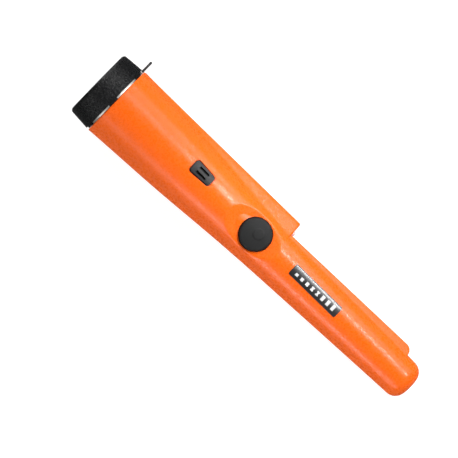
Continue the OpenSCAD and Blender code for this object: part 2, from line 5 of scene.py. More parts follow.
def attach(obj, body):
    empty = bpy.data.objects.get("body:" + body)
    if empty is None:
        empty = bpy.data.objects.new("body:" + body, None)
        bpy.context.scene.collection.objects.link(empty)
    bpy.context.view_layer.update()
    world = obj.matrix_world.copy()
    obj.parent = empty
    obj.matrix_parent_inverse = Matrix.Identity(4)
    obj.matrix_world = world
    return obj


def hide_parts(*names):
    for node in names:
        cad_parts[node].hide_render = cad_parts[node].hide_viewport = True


# A handheld pinpointing probe lying on a pale floor. The pieces are worked out in
# millimetres until a mesh is made; stage, lights and camera are in metres. u runs along
# the tube from the cap's flat end (u = 0, x = 0) to the tip (u = 240, x = -240 mm); phi
# runs round it from the button (+Z) towards +Y.
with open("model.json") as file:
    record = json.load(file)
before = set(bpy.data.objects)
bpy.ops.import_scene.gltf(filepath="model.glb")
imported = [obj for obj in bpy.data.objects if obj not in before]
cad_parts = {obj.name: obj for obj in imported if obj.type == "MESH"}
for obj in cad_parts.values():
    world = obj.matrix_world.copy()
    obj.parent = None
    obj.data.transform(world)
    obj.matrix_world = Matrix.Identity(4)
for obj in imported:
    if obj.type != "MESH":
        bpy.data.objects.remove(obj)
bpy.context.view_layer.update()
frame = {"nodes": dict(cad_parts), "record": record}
NODES = frame["nodes"]
MM = 0.001
PER_M = 1000
SHARP = 32.0  # degrees between faces above which an edge stays sharp

# --- sizes, as in the frame -------------------------------------------------
TOTAL = 240.0
REAR_U, REAR_R = 14.5, 22.0
SHOULDER_U, SHOULDER_R = 60.0, 19.75
WAIST_U, WAIST_R = 115.0, 16.05
FORE_U, FORE_R = 165.0, 13.9
TIP_ROUND = 7.0
NOSE_U, NOSE_R = TOTAL - TIP_ROUND - 0.4, 11.35
SLOPES = {"rear": -0.060, "shoulder": -0.057, "waist": -0.055, "fore": -0.040, "nose": -0.036}
WALL = 2.4
LEDGE_CREST, LEDGE_END, LEDGE_FLANK, LEDGE_FACE = 21.95, 134.2, 14.15, (-0.487, 0.873)
RIB_CREST, RIB_SLOPE, RIB_END, RIB_CORNER = 15.65, 0.0215, 226.5, 4.5
RIB_FLANK, RIB_FLANK_SLOPE, RIB_FLANK_U, RIB_FACE = 9.5, 0.0484, 225.0, (-0.454, 0.891)
NECK_END, NECK_ROOT, NECK_CREST, NECK_SEAT, PLATE_U = 4.4, 17.9, 18.7, 18.8, 13.2
BORE_R, STOP_U, STOP_R = 16.4, 61.2, 15.9
PITCH, RIDGE_U, RIDGE_STEP, NECK_TURNS, CAP_TURNS = 3.6, 11.4, 0.12, 1.5, 1.1
CAP_LEN, CAP_R, CAP_END_R, CAP_ROUND, CAP_WALL = 14.4, 22.0, 21.1, 2.1, 2.6
CAP_BORE, CAP_RIDGE, CAP_SEAT_U, CAP_SEAT_R, LUG_R = 19.1, 18.3, 11.5, 20.55, 21.12
NOTCHES, LUG, LUG_PHASE, NOTCH_DEPTH, TAB_NOTCH, TAB_NOTCH_DEPTH = 6, 16.0, 7.6, 1.15, 4, 1.5
PLATE_R, TAB_REACH, TAB_HALF, LANYARD_R, PLATE_T = 21.0, 28.6, 4.3, 2.2, 1.2
BUTTON_U, BUTTON_R, BUTTON_HOLE, BUTTON_TOP, BUTTON_LOW = 119.5, 9.4, 9.7, 15.4, 10.6
DISC_R, DISC_RISE, DISC_SHIFT, DISC_EDGE = 3.1, 0.22, 1.0, 9.0
SCOOP_R, SCOOP_FLOOR = 41.0, 11.8
GRILLE_U, GRILLE_PHI, GRILLE_SEAT = 75.5, -10.5, 16.6
GRILLE_LEN, GRILLE_WIDE, GRILLE_NARROW, GRILLE_CORNER = 14.0, 4.0, 3.45, 1.6
SLOT_LEN, SLOT_WIDE, SLOT_ROUND, SLOT_SIDE = 3.4, 0.65, 0.5, 1.5
LABEL_U, LABEL_PHI, LABEL_TURN, LABEL_LEN, LABEL_W, LABEL_T = 164.4, -3.0, 0.2, 35.0, 7.2, 0.3
LAMP_Y, LAMP_R, LAMP_FLANGE = 15.2, 1.75, 128.0


# --- outline of the body ------------------------------------------------------
def stretch(u, u0, u1, r0, r1, m0, m1):
    """Cubic stretch of the outline between two stations."""
    d = u1 - u0
    t = (u - u0) / d
    return ((2 * t**3 - 3 * t**2 + 1) * r0 + (t**3 - 2 * t**2 + t) * d * m0
            + (3 * t**2 - 2 * t**3) * r1 + (t**3 - t**2) * d * m1)


def body_r(u):
    s = SLOPES
    if u < SHOULDER_U:
        return stretch(u, REAR_U, SHOULDER_U, REAR_R, SHOULDER_R, s["rear"], s["shoulder"])
    if u < WAIST_U:
        return stretch(u, SHOULDER_U, WAIST_U, SHOULDER_R, WAIST_R, s["shoulder"], s["waist"])
    if u < FORE_U:
        return stretch(u, WAIST_U, FORE_U, WAIST_R, FORE_R, s["waist"], s["fore"])
    return stretch(u, FORE_U, NOSE_U, FORE_R, NOSE_R, s["fore"], s["nose"])


def soft_min(values, power):
    """Smallest of several distances, with a rounded change from one to the next."""
    return sum(v ** -power for v in values) ** (-1.0 / power)


def soft_max(a, b, power):
    m = max(a, b)
    return m * ((a / m) ** power + (b / m) ** power) ** (1.0 / power)


def planes_r(y, z, planes, power):
    """Distance along a ray to a rounded convex section given as (ny, nz, offset)."""
    grazing = 0.02
    return soft_min([offset / max(ny * y + nz * z, grazing) for ny, nz, offset in planes], power)


def ledge_r(y, z, shrink):
    (ny, nz), flank = LEDGE_FACE, LEDGE_FLANK - shrink
    planes = [(-1.0, 0.0, LEDGE_CREST - shrink), (ny, nz, flank), (ny, -nz, flank)]
    return planes_r(y, z, planes, 30)


def crest_at(u):
    return RIB_CREST - RIB_SLOPE * (RIB_END - u)


def rib_r(y, z, u):
    crest = crest_at(u)
    over = u - (RIB_END - RIB_CORNER)
    if over > 0:
        crest += math.sqrt(max(RIB_CORNER**2 - over**2, 0.0)) - RIB_CORNER
    (ny, nz), flank = RIB_FACE, RIB_FLANK + RIB_FLANK_SLOPE * (RIB_FLANK_U - u)
    planes = [(-1.0, 0.0, crest), (ny, nz, flank), (ny, -nz, flank)]
    return planes_r(y, z, planes, 60)


def scoop_z(u):
    return SCOOP_FLOOR + SCOOP_R - math.sqrt(max(SCOOP_R**2 - (u - BUTTON_U) ** 2, 1.0))


def outer_r(u, phi, with_ledge=True, shrink=0.0):
    """Distance from the long axis to the body's outside, along the angle phi."""
    y, z = math.sin(phi), math.cos(phi)
    r = body_r(u)
    if y < -0.2:
        if with_ledge and u <= LEDGE_END:
            r = soft_max(r, ledge_r(y, z, shrink), 55)
        elif u < RIB_END:
            if u < LEDGE_END + 26:
                r = soft_min([r, crest_at(u) / -y], 120)
            r = soft_max(r, rib_r(y, z, u), 90)
    if z > 0.3 and abs(u - BUTTON_U) < 24:
        r = soft_min([r, scoop_z(u) / z], 110)
    return r


def ridge_height(u, theta, last_u, turns):
    """Rise of a screw ridge at u and at the angle theta (0..360, from +Y towards +Z)."""
    best, foot, flank, fade = 0.0, 0.7, 0.35, 12.0
    for lap in range(3):
        total = theta + 360.0 * lap
        if total <= turns * 360.0:
            du = abs(u - (last_u - PITCH * total / 360.0))
            ends = min(total, turns * 360.0 - total) / fade
            best = max(best, min(max((foot - du) / flank, 0.0), 1.0) * min(ends, 1.0))
    return best


# --- mesh helpers ------------------------------------------------------------
def link(name, mesh):
    obj = bpy.data.objects.new(name, mesh)
    bpy.context.scene.collection.objects.link(obj)
    return obj


def finish_mesh(name, bm, angle=SHARP):
    """Cleans a mesh, turns its faces outwards and shades it smooth between sharp edges."""
    bmesh.ops.remove_doubles(bm, verts=bm.verts, dist=1e-6)
    bmesh.ops.dissolve_degenerate(bm, edges=bm.edges, dist=1e-7)
    bmesh.ops.recalc_face_normals(bm, faces=bm.faces)
    mesh = bpy.data.meshes.new(name)
    bm.to_mesh(mesh)
    bm.free()
    shade(mesh, angle)
    return link(name, mesh)


def shade(mesh, angle):
    mesh.shade_smooth()
    mesh.set_sharp_from_angle(angle=math.radians(angle))


def skin_rings(bm, rings, closed=True):
    """Faces over a row of equal rings (points in mm), with a fan at each end if closed."""
    made = [[bm.verts.new(Vector(p) * MM) for p in ring] for ring in rings]
    n = len(made[0])
    for a, b in zip(made, made[1:]):
        for j in range(n):
            bm.faces.new((a[j], a[(j + 1) % n], b[(j + 1) % n], b[j]))
    for ring in (made[0], made[-1]) if closed else ():
        centre = bm.verts.new(sum((v.co for v in ring), Vector()) / n)
        for j in range(n):
            bm.faces.new((centre, ring[j], ring[(j + 1) % n]))


def polar_ring(u, radius, count):
    """Ring round the long axis; radius is a number or a function of phi in radians."""
    ring = []
    for j in range(count):
        phi = 2 * math.pi * j / count
        r = radius(phi) if callable(radius) else radius
        ring.append((-u, r * math.sin(phi), r * math.cos(phi)))
    return ring


def arc(cx, cy, r, a0, a1, n):
    return [(cx + r * math.cos(math.radians(a0 + (a1 - a0) * i / n)),
             cy + r * math.sin(math.radians(a0 + (a1 - a0) * i / n))) for i in range(n + 1)]


def circle(r, y, n):
    return [(y + r * math.cos(2 * math.pi * k / n), r * math.sin(2 * math.pi * k / n)) for k in range(n)]


def lathe(name, profile, matrix, count, angle=SHARP):
    """Turned closed solid: profile of (radius, height) from axis to axis."""
    bm = bmesh.new()
    rings = []
    for r, h in profile[1:-1]:
        rings.append([matrix @ Vector((r * math.cos(2 * math.pi * j / count),
                                       r * math.sin(2 * math.pi * j / count), h))
                      for j in range(count)])
    skin_rings(bm, rings)
    return finish_mesh(name, bm, angle)


def tube_lathe(name, profile, matrix, count):
    """Turned ring: a closed profile of (radius, height) that doesn't touch the axis."""
    bm = bmesh.new()
    rings = [[matrix @ Vector((r * math.cos(2 * math.pi * j / count),
                               r * math.sin(2 * math.pi * j / count), h)) for j in range(count)]
             for r, h in profile + profile[:1]]
    skin_rings(bm, rings, closed=False)
    return finish_mesh(name, bm)


def along_axis(y=0.0):
    """Turned shapes' height runs towards the tip."""
    return Matrix.Translation((0.0, y, 0.0)) @ Matrix.Rotation(math.radians(-90), 4, "Y")


def plug_matrix(u, phi, turn=0.0):
    """z points out of the body at phi, x towards the cap."""
    return (Matrix.Translation((-u, 0, 0)) @ Matrix.Rotation(math.radians(-phi), 4, "X")
            @ Matrix.Rotation(math.radians(turn), 4, "Z"))


def rounded_quad(hl, w1, w2, r, counts=(1, 1)):
    """Rounded four-sided outline; counts are the stretches in its long and short sides."""
    r = max(min(r, w1 - 0.01, w2 - 0.01, hl - 0.01), 0.01)
    corners = (arc(hl - r, w1 - r, r, 0, 90, 5), arc(r - hl, w2 - r, r, 90, 180, 5),
               arc(r - hl, r - w2, r, 180, 270, 5), arc(hl - r, r - w1, r, 270, 360, 5))
    points = []
    for k in range(4):
        points += corners[k]
        (ax, ay), (bx, by) = corners[k][-1], corners[(k + 1) % 4][0]
        n = counts[k % 2]
        points += [(ax + (bx - ax) * i / n, ay + (by - ay) * i / n) for i in range(1, n)]
    return points


def surface_z(x, y, u0, grow):
    """Height of the round body's skin under a point of a plug."""
    r = body_r(u0 - x) + grow
    return math.sqrt(max(r * r - y * y, 0.01))


def curved_plug(name, u0, phi, turn, half, corner, low, grow, fillet, shift=(0.0, 0.0), bm=None):
    """Solid whose top follows the body's skin. half is (half length, width at cap side,
    width at tip side); low is a height, or None to follow the skin below as well."""
    place = plug_matrix(u0, phi, turn)
    own = bm is None
    bm = bm or bmesh.new()
    cos_t, sin_t = math.cos(math.radians(turn)), math.sin(math.radians(turn))

    def ring(inset, drop, bottom=False):
        out = []
        for x, y in rounded_quad(half[0] - inset, half[1] - inset, half[2] - inset, corner - inset, counts):
            x, y = x + shift[0], y + shift[1]
            gx, gy = x * cos_t - y * sin_t, x * sin_t + y * cos_t
            top = surface_z(gx, gy, u0, grow) - drop
            if bottom:
                top = low if low is not None else surface_z(gx, gy, u0, 0.0)
            out.append(place @ Vector((x, y, top)))
        return out

    small = min(half) - 0.05
    counts = (max(1, round(half[0])), max(1, round((half[1] + half[2]) / 2)))
    insets = [fillet + (small - fillet) * k / 5 for k in range(1, 6)]
    rings = [ring(i, 0, True) for i in reversed(insets)] + [ring(0, 0, True)]
    for k in range(5):
        a = math.radians(90 * k / 4)
        rings.append(ring(fillet * (1 - math.cos(a)), fillet * (1 - math.sin(a))))
    rings += [ring(i, 0) for i in insets]
    skin_rings(bm, rings)
    return finish_mesh(name, bm) if own else None


def prism_cutter(name, outline, matrix, z0, z1):
    bm = bmesh.new()
    skin_rings(bm, [[matrix @ Vector((x, y, z)) for x, y in outline] for z in (z0, z1)])
    return finish_mesh(name, bm)


def cut(target, cutters, angle=SHARP):
    """Takes the cutters away from the target and deletes them."""
    for c in cutters:
        mod = target.modifiers.new("cut", "BOOLEAN")
        mod.operation, mod.object, mod.solver = "DIFFERENCE", c, "MANIFOLD"
    deps = bpy.context.evaluated_depsgraph_get()
    mesh = bpy.data.meshes.new_from_object(target.evaluated_get(deps))
    target.modifiers.clear()
    target.data = mesh
    shade(mesh, angle)
    for c in cutters:
        bpy.data.objects.remove(c)


def drop_slivers(target):
    """Splits a cut mesh into triangles and takes out those that have no area."""
    bm = bmesh.new()
    bm.from_mesh(target.data)
    bmesh.ops.triangulate(bm, faces=bm.faces)
    bmesh.ops.dissolve_degenerate(bm, edges=bm.edges, dist=1e-7)
    bm.to_mesh(target.data)
    bm.free()
    shade(target.data, SHARP)


def flat_plate(name, loops, u, thickness, bevel):
    """Plate across the long axis from closed loops of (y, z), with rounded edges."""
    curve = bpy.data.curves.new(name, "CURVE")
    curve.dimensions, curve.fill_mode = "2D", "BOTH"
    curve.extrude, curve.bevel_depth = (thickness / 2 - bevel) * MM, bevel * MM
    curve.offset, curve.bevel_resolution = -bevel * MM, 3
    for loop in loops:
        spline = curve.splines.new("POLY")
        spline.points.add(len(loop) - 1)
        for p, (a, b) in zip(spline.points, loop):
            p.co = (a * MM, b * MM, 0, 1)
        spline.use_cyclic_u = True
    temp = link(name + "_outline", curve)
    mesh = bpy.data.meshes.new_from_object(temp.evaluated_get(bpy.context.evaluated_depsgraph_get()))
    bpy.data.objects.remove(temp)
    mesh.transform(Matrix.Translation((-(u + thickness / 2) * MM, 0, 0))
                   @ Matrix(((0, 0, 1, 0), (1, 0, 0, 0), (0, 1, 0, 0), (0, 0, 0, 1))))
    bm = bmesh.new()
    bm.from_mesh(mesh)
    bpy.data.meshes.remove(mesh)
    return finish_mesh(name, bm)


# --- materials -----------------------------------------------------------------
class Nodes:
    """Short way to write a node material."""

    def __init__(self, name):
        self.mat = bpy.data.materials.new(name)
        self.mat.use_nodes = True
        self.tree = self.mat.node_tree
        self.bsdf = self.tree.nodes["Principled BSDF"]
        self.coord = self.tree.nodes.new("ShaderNodeTexCoord").outputs["Object"]

    def add(self, kind, **values):
        node = self.tree.nodes.new(kind)
        for key, value in values.items():
            socket = node.inputs.get(key.replace("_", " "))
            if socket is not None:
                socket.default_value = value
            else:
                setattr(node, key, value)
        return node

    def wire(self, out, into):
        self.tree.links.new(out, into)

    def feed(self, socket, value):
        """Wires a value into one of the shader's own sockets."""
        self.wire(value, self.bsdf.inputs[socket])

    def scaled(self, x, y, z):
        mapping = self.add("ShaderNodeMapping")
        mapping.inputs["Scale"].default_value = (x, y, z)
        self.wire(self.coord, mapping.inputs["Vector"])
        return mapping.outputs["Vector"]

    def noise(self, per_mm, detail=2.0, rough=0.5, stretch_x=1.0):
        vector = self.scaled(PER_M * per_mm * stretch_x, PER_M * per_mm, PER_M * per_mm)
        noise = self.add("ShaderNodeTexNoise", Scale=1.0, Detail=detail, Roughness=rough)
        self.wire(vector, noise.inputs["Vector"])
        return noise.outputs["Fac"]

    def cells(self, per_mm):
        """A random value for each small cell of the surface."""
        vector = self.scaled(PER_M * per_mm, PER_M * per_mm, PER_M * per_mm)
        cells = self.add("ShaderNodeTexVoronoi", Scale=1.0)
        self.wire(vector, cells.inputs["Vector"])
        return cells.outputs["Color"]

    def ramp(self, value, stops):
        ramp = self.add("ShaderNodeValToRGB")
        els = ramp.color_ramp.elements
        while len(els) < len(stops):
            els.new(0.5)
        for el, (pos, col) in zip(els, stops):
            el.position, el.color = pos, (*col, 1.0)
        self.wire(value, ramp.inputs["Fac"])
        return ramp.outputs["Color"]

    def span(self, value, low, high, lo_in=0.3, hi_in=0.7):
        node = self.add("ShaderNodeMapRange")
        for key, v in (("From Min", lo_in), ("From Max", hi_in), ("To Min", low), ("To Max", high)):
            node.inputs[key].default_value = v
        self.wire(value, node.inputs["Value"])
        return node.outputs["Result"]

    def bump(self, height, depth_mm, strength=1.0, below=None):
        node = self.add("ShaderNodeBump", Strength=strength, Distance=depth_mm * MM)
        self.wire(height, node.inputs["Height"])
        if below is not None:
            self.wire(below, node.inputs["Normal"])
        self.wire(node.outputs["Normal"], self.bsdf.inputs["Normal"])
        return node.outputs["Normal"]

    def set(self, **values):
        for key, value in values.items():
            self.bsdf.inputs[key.replace("_", " ")].default_value = value


def tint(color, k):
    return tuple(min(1.0, c * k) for c in color)


def generic(name, color, rough, metal, grain, depth, spread):
    """Everyday finish: a faint change of colour and gloss, and a grain in the surface."""
    m = Nodes(name)
    fine, broad = m.noise(grain, 3.0), m.noise(grain / 9.0, 2.0)
    m.feed("Base Color", m.ramp(broad, [(0.3, tint(color, 1 - spread)), (0.7, tint(color, 1 + spread))]))
    m.feed("Roughness", m.span(fine, rough * 0.85, min(1.0, rough * 1.15)))
    m.bump(fine, depth)
    m.set(Metallic=metal)
    return m.mat


def orange_material():
    """Bright moulded plastic with a fine spark-eroded grain that glitters in highlights."""
    m = Nodes("body_orange")
    coarse, fine, cells = m.noise(1.3, 1.0), m.noise(1.5, 0.0), m.cells(0.95)
    m.feed("Base Color", m.ramp(fine, [(0.36, (0.79, 0.101, 0.002)), (0.64, (0.85, 0.123, 0.006))]))
    m.feed("Roughness", m.span(cells, 0.22, 0.42, 0.25, 0.75))
    first = m.bump(coarse, 0.065, 1.0)
    m.bump(fine, 0.03, 0.8, below=first)
    m.set(Specular_IOR_Level=0.28)
    return m.mat


def cap_material():
    """Black moulded plastic with a deeper and coarser grain than the body's."""
    m = Nodes("cap_black")
    coarse, fine, cells = m.noise(0.9, 3.0, 0.7), m.noise(2.0, 2.0), m.cells(1.1)
    m.feed("Base Color", m.ramp(coarse, [(0.35, (0.0025, 0.0026, 0.0028)), (0.7, (0.006, 0.0062, 0.0068))]))
    m.feed("Roughness", m.span(cells, 0.14, 0.42, 0.25, 0.75))
    first = m.bump(coarse, 0.50, 1.0)
    m.bump(fine, 0.06, 0.8, below=first)
    m.set(Specular_IOR_Level=0.22)
    return m.mat


def rubber_material():
    """Soft matte rubber of the button."""
    m = Nodes("button_rubber")
    fine, broad = m.noise(4.0, 2.0), m.noise(0.12, 2.0)
    m.feed("Base Color", m.ramp(broad, [(0.3, (0.006, 0.0062, 0.0064)), (0.7, (0.009, 0.0092, 0.0094))]))
    m.feed("Roughness", m.span(fine, 0.55, 0.68))
    m.bump(fine, 0.008, 0.6)
    m.set(Specular_IOR_Level=0.25)
    return m.mat


def grille_material():
    m = Nodes("grille_plastic")
    fine = m.noise(2.4, 3.0)
    m.feed("Base Color", m.ramp(fine, [(0.3, (0.008, 0.008, 0.009)), (0.7, (0.015, 0.015, 0.0165))]))
    m.feed("Roughness", m.span(fine, 0.42, 0.58))
    m.bump(fine, 0.03, 0.7)
    m.set(Specular_IOR_Level=0.3)
    return m.mat


def label_material():
    """Printed film: near black under a clear coat, with a painted sheen that makes it slightly lighter
    towards the tip end.
    """
    m = Nodes("label_black")
    axis = m.add("ShaderNodeSeparateXYZ")
    m.wire(m.coord, axis.inputs[0])
    # Painted sheen: the base colour runs from lighter at the tip end to darker at the cap end.
    along = m.span(axis.outputs["X"], 0.0, 1.0, -0.183, -0.148)
    m.feed("Base Color", m.ramp(along, [(0.0, (0.014, 0.0135, 0.015)), (1.0, (0.007, 0.0075, 0.008))]))
    fine = m.noise(3.0, 2.0)
    m.feed("Roughness", m.span(fine, 0.30, 0.42))
    m.bump(fine, 0.004, 0.5)
    m.set(Coat_Weight=0.4, Coat_Roughness=0.18)
    return m.mat


def ring_material():
    """Bright metal with fine turning marks round it."""
    m = Nodes("bright_ring")
    fine = m.noise(3.0, 2.0, stretch_x=4.0)
    m.feed("Base Color", m.ramp(fine, [(0.3, (0.80, 0.81, 0.83)), (0.7, (0.90, 0.91, 0.92))]))
    m.feed("Roughness", m.span(fine, 0.16, 0.28))
    m.bump(fine, 0.006, 0.5)
    m.set(Metallic=1.0)
    return m.mat


def plate_material():
    """Polished steel washer whose tab is coloured black."""
    m = Nodes("plate_steel")
    axis = m.add("ShaderNodeSeparateXYZ")
    m.wire(m.coord, axis.inputs[0])
    # Black on the tab, bare steel on the rest of the washer.
    on_tab = m.span(axis.outputs["Y"], 1.0, 0.0, -0.0209, -0.0206)
    fine = m.noise(2.0, 2.0)
    m.feed("Base Color", m.ramp(on_tab, [(0.0, (0.66, 0.64, 0.60)), (1.0, (0.012, 0.012, 0.012))]))
    m.feed("Metallic", m.ramp(on_tab, [(0.0, (1.0, 1.0, 1.0)), (1.0, (0.0, 0.0, 0.0))]))
    m.feed("Roughness", m.span(fine, 0.34, 0.50))
    m.bump(fine, 0.006, 0.5)
    return m.mat


def lamp_material():
    """Clear moulded epoxy."""
    m = Nodes("lamp_clear")
    broad = m.noise(0.6, 1.0)
    m.feed("Base Color", m.ramp(broad, [(0.3, (0.93, 0.95, 0.97)), (0.7, (0.98, 0.99, 1.0))]))
    m.feed("Roughness", m.span(broad, 0.04, 0.09))
    m.set(Transmission_Weight=0.55, IOR=1.45)
    return m.mat


def floor_material():
    """Nearly white paper of the floor and the backdrop."""
    m = Nodes("floor_paper")
    broad = m.noise(0.02, 2.0)
    m.feed("Base Color", m.ramp(broad, [(0.3, (0.29, 0.29, 0.29)), (0.7, (0.31, 0.31, 0.31))]))
    m.feed("Roughness", m.span(broad, 0.8, 0.9))
    m.set(Emission_Color=(1.0, 1.0, 1.0, 1.0), Emission_Strength=0.88, Specular_IOR_Level=0.1)
    return m.mat


# Finishes of the inner pieces and the label's print: colour, roughness, metal, grains a mm, depth, spread.
PLAIN = {
    "seal_rubber": ((0.16, 0.012, 0.010), 0.45, 0.0, 1.5, 0.006, 0.10),
    "foam": ((0.030, 0.030, 0.034), 0.95, 0.0, 2.2, 0.15, 0.35),
    "battery_jacket": ((0.030, 0.035, 0.060), 0.35, 0.4, 1.0, 0.004, 0.12),
    "battery_card": ((0.10, 0.055, 0.025), 0.8, 0.0, 1.8, 0.02, 0.25),
    "contact_metal": ((0.62, 0.62, 0.60), 0.30, 1.0, 1.5, 0.006, 0.08),
    "contact_board": ((0.018, 0.018, 0.020), 0.55, 0.0, 1.6, 0.012, 0.15),
    "screw_steel": ((0.55, 0.56, 0.58), 0.32, 1.0, 2.0, 0.006, 0.10),
    "chassis_plastic": ((0.020, 0.022, 0.025), 0.5, 0.0, 1.4, 0.02, 0.15),
    "board_green": ((0.010, 0.075, 0.022), 0.30, 0.0, 0.8, 0.008, 0.20),
    "chip_black": ((0.012, 0.012, 0.013), 0.6, 0.0, 2.5, 0.01, 0.15),
    "capacitor_sleeve": ((0.012, 0.016, 0.075), 0.3, 0.0, 1.2, 0.004, 0.10),
    "crystal_can": ((0.60, 0.60, 0.62), 0.28, 1.0, 1.5, 0.006, 0.08),
    "film_red": ((0.22, 0.015, 0.012), 0.28, 0.0, 0.8, 0.015, 0.12),
    "resistor_body": ((0.025, 0.025, 0.030), 0.5, 0.0, 3.0, 0.006, 0.20),
    "carrier_plastic": ((0.014, 0.014, 0.014), 0.5, 0.0, 1.6, 0.015, 0.15),
    "plunger_plastic": ((0.20, 0.012, 0.010), 0.45, 0.0, 2.0, 0.006, 0.10),
    "switch_case": ((0.018, 0.018, 0.018), 0.5, 0.0, 2.0, 0.008, 0.12),
    "mesh_cloth": ((0.030, 0.030, 0.030), 0.9, 0.0, 6.0, 0.06, 0.30),
    "seat_rubber": ((0.030, 0.030, 0.034), 0.7, 0.0, 1.6, 0.012, 0.15),
    "speaker_case": ((0.012, 0.012, 0.012), 0.5, 0.0, 1.6, 0.010, 0.15),
    "cone_film": ((0.30, 0.22, 0.11), 0.6, 0.0, 2.0, 0.02, 0.20),
    "lead_tin": ((0.62, 0.62, 0.62), 0.35, 1.0, 3.0, 0.004, 0.08),
    "motor_case": ((0.52, 0.53, 0.55), 0.28, 1.0, 1.4, 0.006, 0.08),
    "shaft_steel": ((0.58, 0.58, 0.60), 0.22, 1.0, 3.0, 0.003, 0.06),
    "weight_metal": ((0.20, 0.20, 0.215), 0.5, 1.0, 2.5, 0.02, 0.15),
    "ferrite": ((0.022, 0.022, 0.024), 0.7, 0.0, 2.5, 0.02, 0.20),
    "former_plastic": ((0.58, 0.55, 0.44), 0.5, 0.0, 1.4, 0.010, 0.08),
    "shield_foil": ((0.75, 0.36, 0.17), 0.30, 1.0, 0.8, 0.03, 0.12),
    "wire_red": ((0.38, 0.010, 0.008), 0.38, 0.0, 2.0, 0.006, 0.10),
    "wire_black": ((0.010, 0.010, 0.010), 0.40, 0.0, 2.0, 0.006, 0.15),
    "wire_green": ((0.010, 0.13, 0.022), 0.38, 0.0, 2.0, 0.006, 0.10),
    "wire_yellow": ((0.52, 0.33, 0.010), 0.38, 0.0, 2.0, 0.006, 0.10),
    "label_white": ((0.60, 0.60, 0.61), 0.5, 0.0, 3.0, 0.003, 0.03),
}


def winding_material():
    """Copper wire laid in turns round the rod."""
    m = Nodes("copper_wire")
    vector = m.scaled(PER_M, 1.0, 1.0)
    wave = m.add("ShaderNodeTexWave", Scale=1.1, Distortion=0.3)
    m.wire(vector, wave.inputs["Vector"])
    turns = wave.outputs["Fac"]
    m.feed("Base Color", m.ramp(turns, [(0.0, (0.22, 0.060, 0.018)), (0.6, (0.62, 0.22, 0.070))]))
    m.feed("Roughness", m.span(m.noise(1.0), 0.25, 0.38))
    m.bump(turns, 0.12, 0.9)
    m.set(Metallic=0.9)
    return m.mat


def all_materials():
    mats = {name: generic(name, *spec) for name, spec in PLAIN.items()}
    own = {"body_orange": orange_material, "cap_black": cap_material,
           "button_rubber": rubber_material, "grille_plastic": grille_material,
           "label_black": label_material, "bright_ring": ring_material, "lamp_clear": lamp_material,
           "copper_wire": winding_material, "plate_steel": plate_material}
    mats.update({name: make() for name, make in own.items()})
    return mats


def paint(obj, mat):
    obj.data.materials.clear()
    obj.data.materials.append(mat)


# --- pieces ----------------------------------------------------------------------
def make_housing(mat):
    """The body: tube, ledge, rib, recess, neck with its ridge and the hollow inside."""
    count = 288
    bm = bmesh.new()
    rings = []
    tip_r = body_r(NOSE_U)
    for k in range(1, 5):
        rings.append(polar_ring(TOTAL - 0.4 * (k / 5) ** 2, (tip_r - TIP_ROUND) * k / 5, count))
    for r, u in arc(tip_r - TIP_ROUND, NOSE_U, TIP_ROUND, 90, 0, 14):
        rings.append(polar_ring(u, r, count))
    fine = [LEDGE_END + d for d in (0.8, 0.4, 0.15, 0.02)]
    step = 0.75
    stations = [NOSE_U - step * k for k in range(1, 400) if NOSE_U - step * k > REAR_U + 0.9]
    ahead = sorted([u for u in stations if u > LEDGE_END + 1.0] + fine, reverse=True)
    behind = [u for u in stations if u < LEDGE_END - 1.6]
    for u in ahead:
        rings.append(polar_ring(u, lambda phi, u=u: outer_r(u, phi), count))
    rings.append(polar_ring(LEDGE_END, lambda phi: outer_r(LEDGE_END, phi, with_ledge=False), count))
    edge = 1.1
    for k in range(7):
        a = math.radians(90 * k / 6)
        u, shrink = LEDGE_END - edge * (1 - math.cos(a)), edge * (1 - math.sin(a))
        rings.append(polar_ring(u, lambda phi, u=u, s=shrink: outer_r(u, phi, shrink=s), count))
    for u in behind:
        rings.append(polar_ring(u, lambda phi, u=u: outer_r(u, phi), count))
    for r, u in arc(REAR_R - 0.5, REAR_U + 0.5, 0.5, 0, -90, 4):
        rings.append(polar_ring(u, r, count))
    rings += [polar_ring(REAR_U, NECK_SEAT + 0.02, count), polar_ring(REAR_U - 0.02, NECK_SEAT, count),
              polar_ring(PLATE_U - 0.05, NECK_SEAT, count), polar_ring(PLATE_U - 0.07, NECK_ROOT, count)]
    u = PLATE_U - 0.3
    while u > NECK_END + 0.35:
        rings.append(polar_ring(u, lambda phi, u=u: NECK_ROOT + (NECK_CREST - NECK_ROOT) * ridge_height(
            u, (90.0 - math.degrees(phi)) % 360.0, RIDGE_U, NECK_TURNS), count))
        u -= RIDGE_STEP
    rings += [polar_ring(NECK_END + 0.3, NECK_ROOT, count), polar_ring(NECK_END, NECK_ROOT - 0.3, count),
              polar_ring(NECK_END, BORE_R + 0.3, count), polar_ring(NECK_END + 0.3, BORE_R, count),
              polar_ring(STOP_U, BORE_R, count), polar_ring(STOP_U + 0.02, STOP_R, count)]
    rings += [polar_ring(u, min(STOP_R, body_r(u) - WALL), count) for u in range(78, 230, 6)]
    rings += [polar_ring(232, body_r(232) - WALL, count), polar_ring(236.4, 6.5, count)]
    skin_rings(bm, rings)
    body = finish_mesh("housing_shell", bm, 30.0)
    cut(body, housing_cutters(), 30.0)
    paint(body, mat)
    return body


def grille_outline(grow, counts=(1, 1)):
    """Outline of the speaker insert, larger by grow on every side."""
    return rounded_quad(GRILLE_LEN / 2 + grow, GRILLE_WIDE + grow, GRILLE_NARROW + grow,
                        GRILLE_CORNER + grow * 0.8, counts)


